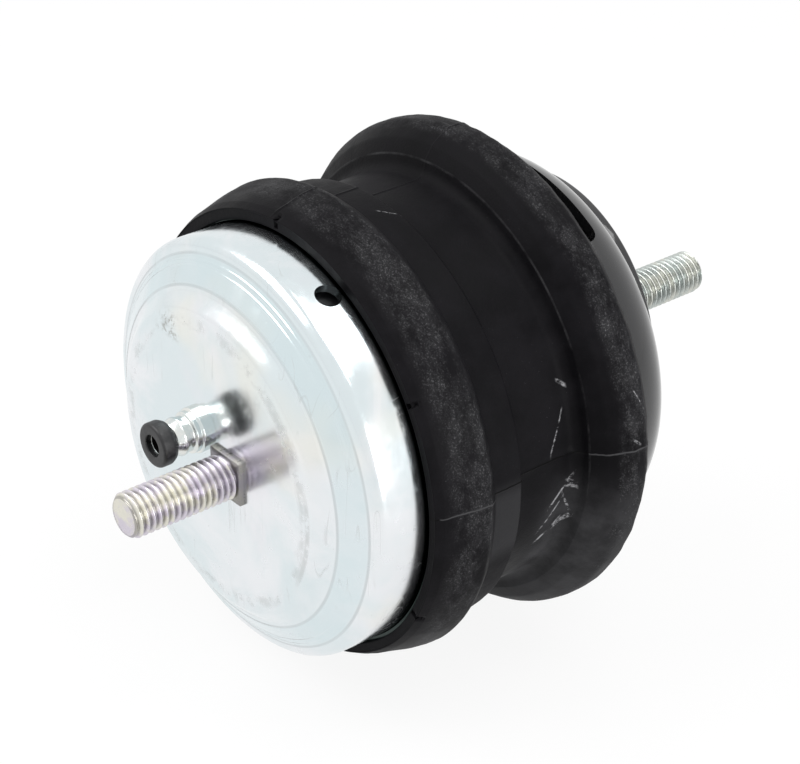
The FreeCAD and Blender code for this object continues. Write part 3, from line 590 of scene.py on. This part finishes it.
cup = turned("cup_shell", [
    (0, -44.3, 0), (29.0, -44.3, 6.0), (33.6, -43.7, 2.2), (36.6, -41.2, 0.8), (37.8, -40.9, 0.3),
    (43.5, -37.3, 0.4), (46.5, -36.8, 2.7),
    (46.5, -24.4, 0.3), (50.2, -24.4, 1.4), (50.2, -14.8, 0.3), (47.8, -14.8, 0.2), (47.8, -16.8, 0.2),
    (49.2, -16.8, 0.2), (49.2, -22.4, 0.2), (44.5, -22.4, 0.2), (44.5, -34.9, 1.2), (43.0, -35.2, 0.4),
    (36.7, -39.1, 2.0), (28.0, -42.3, 6.0), (0, -42.3, 0)], angles=320, longest=2.0)
cut(cup, [drill(2.8, math.radians(24.9), -28.6, 38, 52)])
put(cup, bright_zinc, "bright_zinc", "base_cup")

near_stud = stud("near_threaded_stud", STUD_SIDE, NEAR_TIP, -45.3, -39.3, 7.5, 4.5, -1)
put(near_stud, near_thread, "stud_zinc", "base_stud")

pin = turned("locating_pin", [
    (0, -37.8, 0), (3.0, -37.8, 0.2), (4.0, -39.3, 0.2), (2.8, -39.3, 0.1), (2.8, -42.3, 0.1),
    (5.0, -42.3, 0.1), (5.0, -45.7, 0.4), (4.5, -46.0, 0.2), (4.6, -47.1, 0.3), (3.9, -47.5, 0.3),
    (3.9, -48.3, 0.3),
    (4.3, -49.6, 1.0), (3.6, -51.2, 0.9), (3.2, -51.7, 0.1), (3.2, -54.3, 0.2), (2.15, -54.3, 0.1),
    (1.9, -47.54, 0.2), (0, -46.5, 0)], PIN_SIDE, PIN_UP, 96)
put(pin, pin_zinc, "bright_zinc", "locator_pin")
ring = turned("locating_ring", [
    (2.4, -55.6, 0.3), (4.9, -55.6, 0.7), (4.9, -53.0, 1.0), (4.3, -51.9, 0.5), (3.2, -51.7, 0.1),
    (3.2, -54.3, 0.1), (2.4, -54.3, 0.1)], PIN_SIDE, PIN_UP, 96)
put(ring, inner_rubber, "inner_rubber", "locator_ring")

# ---------------------------------------------------------------- rubber

PARTING = [86.0, 176.0, 266.0, 356.0]
NOTCHES = [58.0, 118.0, 178.0, 238.0, 298.0, 358.0]


def fine_angles():
    degrees = {1.5 * k for k in range(240)}
    for special in PARTING + NOTCHES:
        for off in (0, 0.15, 0.3, 0.5, 0.8, 1.7):
            degrees.add(round((special + off) % 360, 2))
            degrees.add(round((special - off) % 360, 2))
    return [math.radians(d) for d in sorted(degrees)]


def away(angle, special):
    """Degrees between two directions."""
    return abs((math.degrees(angle) - special + 180) % 360 - 180)


def moulded(angle, r, s):
    """Small faults of the moulding: flash at the mould's joints, lip notches, a soft unevenness."""
    if r < 40 and -14 < s < 14:
        return r, s
    outside = r > 46.0
    if r < 47.6 and s < -24.0:
        return r - 0.45 * math.cos(angle / 2 + 0.2) ** 2, s
    for special in NOTCHES:
        off = away(angle, special)
        if off < 0.8 and r < 50.6 and s < -25.5:
            s += 1.3 * (1 - off / 0.8) ** 0.5
    if outside and -27.5 < s < 28.5 and not (r < 50 and (s > 23 or s < -23)):
        for special in PARTING:
            off = away(angle, special)
            if off < 0.5:
                r += 0.16 * (1 - off / 0.5)
            if off < 1.7 and special == 86.0 and -2 < s < 15:
                r += 0.35 * (1 - off / 1.7)
        p = place(r, angle, s) / MM
        r += 0.10 * noise.noise(p * 0.16) + 0.05 * noise.noise(p * 0.45)
        if s > 24 and r > 54:
            s += 0.22 * noise.noise(p * 0.3) + 0.12 * noise.noise(p * 1.1)
    return r, s


def resting(angle, r, s):
    """Moulded shape, no wider than the solid and flat where the rims lie."""
    r, s = moulded(angle, r, s)
    r = min(r, RIM)
    below = -math.cos(angle) * r
    if below > AXIS:
        r = AXIS / -math.cos(angle)
    return r, min(s, 27.5)


spring = turned("rubber_body", [
    (47.4, -24.4, 0), (47.4, -25.5, 0.4), (49.3, -25.5, 0.1), (49.5, -25.8, 0.15), (50.5, -23.8, 1.2),
    (52.2, -17.6, 6.0), (52.85, -13.7, 1.6), (51.4, -11.6, 0.8), (49.6, -10.9, 0.7), (49.6, -2.9, 0.9),
    (46.8, -1.6, 0.8), (46.8, 14.2, 3.0), (50.3, 15.05, 0.3), (53.3, 17.2, 3.0), (56.2, 21.4, 3.4),
    (56.2, 25.5, 2.2), (54.6, 27.5, 1.0), (47.5, 27.5, 0.5), (47.5, 24.7, 0), (52.5, 24.7, 0),
    (52.5, 16.7, 0), (47.8, 16.7, 0), (47.8, 19.2, 0), (36.5, 19.2, 0), (35.0, 14.2, 0), (35.0, -11.8, 0),
    (36.5, -16.8, 0), (47.8, -16.8, 0), (47.8, -14.8, 0), (50.2, -14.8, 0), (50.2, -24.4, 0)],
    angles=fine_angles(), shape=resting, longest=2.2, sharp=50)
put(spring, body_rubber, "body_rubber", "main_spring")

# ---------------------------------------------------------------- far end

cap = turned("cap_shell", [
    (0, 44.1, 0), (43.9, 44.1, 10.0), (43.9, 22.2, 0.2), (50.0, 22.2, 0.2), (50.0, 19.2, 0.2),
    (47.8, 19.2, 0.2), (47.8, 16.7, 0.2), (52.5, 16.7, 0.3), (52.5, 24.7, 0.3), (46.4, 24.7, 0.2),
    (46.4, 46.6, 12.5), (0, 46.6, 0)],
    angles=320, longest=2.0)
SLOT_START, SLOT_SPAN = math.radians(-22), math.radians(55)
cut(cap, [slot_tool(first, first + SLOT_SPAN, 34.2, 3.0, 33, 54)
          for first in (SLOT_START, SLOT_START + math.pi)])
put(cap, black_paint, "black_paint", "top_cap")

disc = turned("seat_disc", [
    (0, 46.6, 0), (33.7, 46.6, 0.3), (33.7, 49.0, 0.6), (0, 49.0, 0)], DISC_SIDE, DISC_UP, 192)
put(disc, black_paint, "black_paint", "top_disc")

far_stud = stud("far_threaded_stud", 0, FAR_TIP, 49.0, 41.1, 9.0, 4.5, 1)
put(far_stud, far_thread, "stud_zinc", "top_stud")

# ---------------------------------------------------------------- inner pieces keep their solids

INNER = {
    plain_steel: ("base_backing_plate", "plate_rivets", "lower_spring_ring", "upper_spring_ring",
                  "chamber_cover", "fill_plug", "top_backing_plate"),
    cast_plate: ("lower_track_plate", "upper_track_plate"),
    inner_rubber: ("diaphragm", "decoupler", "bump_stop"),
}
for material, names in INNER.items():
    for name in names:
        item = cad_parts[name]
        item.data.materials.clear()
        item.data.materials.append(material)

# ---------------------------------------------------------------- studio

bm = bmesh.new()
bmesh.ops.create_grid(bm, x_segments=1, y_segments=1, size=6)
floor = finish_mesh("floor", bm)
n = Nodes("floor_white")
light = n.node("ShaderNodeLightPath")
seen = n.math("MAXIMUM", light.outputs["Is Camera Ray"],
              n.math("MAXIMUM", light.outputs["Is Glossy Ray"], light.outputs["Is Transmission Ray"]))
matt = n.node("ShaderNodeBsdfDiffuse", Color=(0.86, 0.86, 0.86, 1))
glow = n.node("ShaderNodeEmission", Color=(1, 1, 1, 1), Strength=1.0)
blend = n.node("ShaderNodeMixShader", Fac=n.mul(seen, 0.9))
n.tree.links.new(matt.outputs[0], blend.inputs[1])
n.tree.links.new(glow.outputs[0], blend.inputs[2])
n.tree.links.new(blend.outputs[0], n.output.inputs["Surface"])
floor.data.materials.append(n.material)

world = bpy.data.worlds.new("studio")
bpy.context.scene.world = world
world.use_nodes = True
tree = world.node_tree
tree.nodes.clear()


def world_node(kind, **inputs):
    return add_node(tree, kind, **inputs)


# Camera, glossy and transmission rays see plain white; only the light on the object is weaker.
path = world_node("ShaderNodeLightPath").outputs
ambient = world_node("ShaderNodeBackground", in0=(1, 1, 1, 1), in1=0.55).outputs[0]
white = world_node("ShaderNodeBackground", in0=(1, 1, 1, 1), in1=1.0).outputs[0]
glossy = world_node("ShaderNodeMath", _operation="MAXIMUM", in0=path["Is Glossy Ray"],
                    in1=path["Is Transmission Ray"]).outputs[0]
clear = world_node("ShaderNodeMath", _operation="MAXIMUM", in0=path["Is Camera Ray"], in1=glossy).outputs[0]
shown = world_node("ShaderNodeMixShader", in0=clear, in1=ambient, in2=white).outputs[0]
world_node("ShaderNodeOutputWorld", in0=shown)


def lamp(name, power, size, place_m, target=(0, 0, 0.05)):
    data = bpy.data.lights.new(name, "AREA")
    data.energy = power
    data.shape = "RECTANGLE"
    data.size = size
    data.size_y = size
    item = bpy.data.objects.new(name, data)
    item.location = place_m
    item.rotation_mode = "QUATERNION"
    item.rotation_quaternion = (Vector(target) - Vector(place_m)).to_track_quat("-Z", "Y")
    bpy.context.scene.collection.objects.link(item)
    return item


lamp("key", 6.5, 0.7, (-0.35, -0.55, 0.85))
lamp("top", 4.0, 0.6, (0.25, 0.25, 0.9))
lamp("side", 5.0, 0.5, (0.9, 0.1, 0.18))

# ---------------------------------------------------------------- camera

AZIMUTH, ELEVATION = math.radians(51.171), math.radians(30.081)
forward = Vector((-math.sin(AZIMUTH) * math.cos(ELEVATION), math.cos(AZIMUTH) * math.cos(ELEVATION),
                  -math.sin(ELEVATION)))
camera_data = bpy.data.cameras.new("camera")
camera_data.lens = 108
camera_data.sensor_width = 36
camera_data.clip_start = 0.02
camera = bpy.data.objects.new("camera", camera_data)
camera.location = (0.35283, -0.29067, 0.31992)
camera.rotation_mode = "QUATERNION"
camera.rotation_quaternion = forward.to_track_quat("-Z", "Y")
bpy.context.scene.collection.objects.link(camera)
bpy.context.scene.camera = camera
bpy.context.scene.view_settings.view_transform = "Standard"
